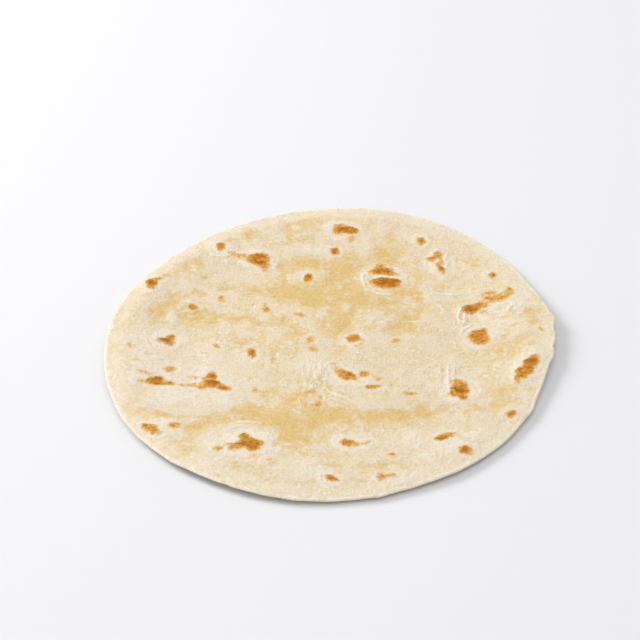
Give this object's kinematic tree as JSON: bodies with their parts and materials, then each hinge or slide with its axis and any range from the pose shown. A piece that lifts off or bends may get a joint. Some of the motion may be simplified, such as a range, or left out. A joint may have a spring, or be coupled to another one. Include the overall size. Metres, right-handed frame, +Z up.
{
  "type": "flour tortilla",
  "caption": "Soft round flour tortilla lying flat: a thin baked sheet of wheat dough with a slightly oval outline, a gently lifted rim and toasted blisters.",
  "frame": {"origin": "under the middle of the tortilla, at the height of the surface it rests on", "axes": "+Z up, out of the served face; +X along the longest way across, to the viewer's right; +Y away from the viewer"},
  "size_m": [0.2016, 0.1954, 0.0062],
  "materials": {
    "baked_dough": "matte, floury, soft cream with toasted brown spots"
  },
  "bodies": {
    "root": {"tortilla": "baked_dough"}
  },
  "joints": []
}
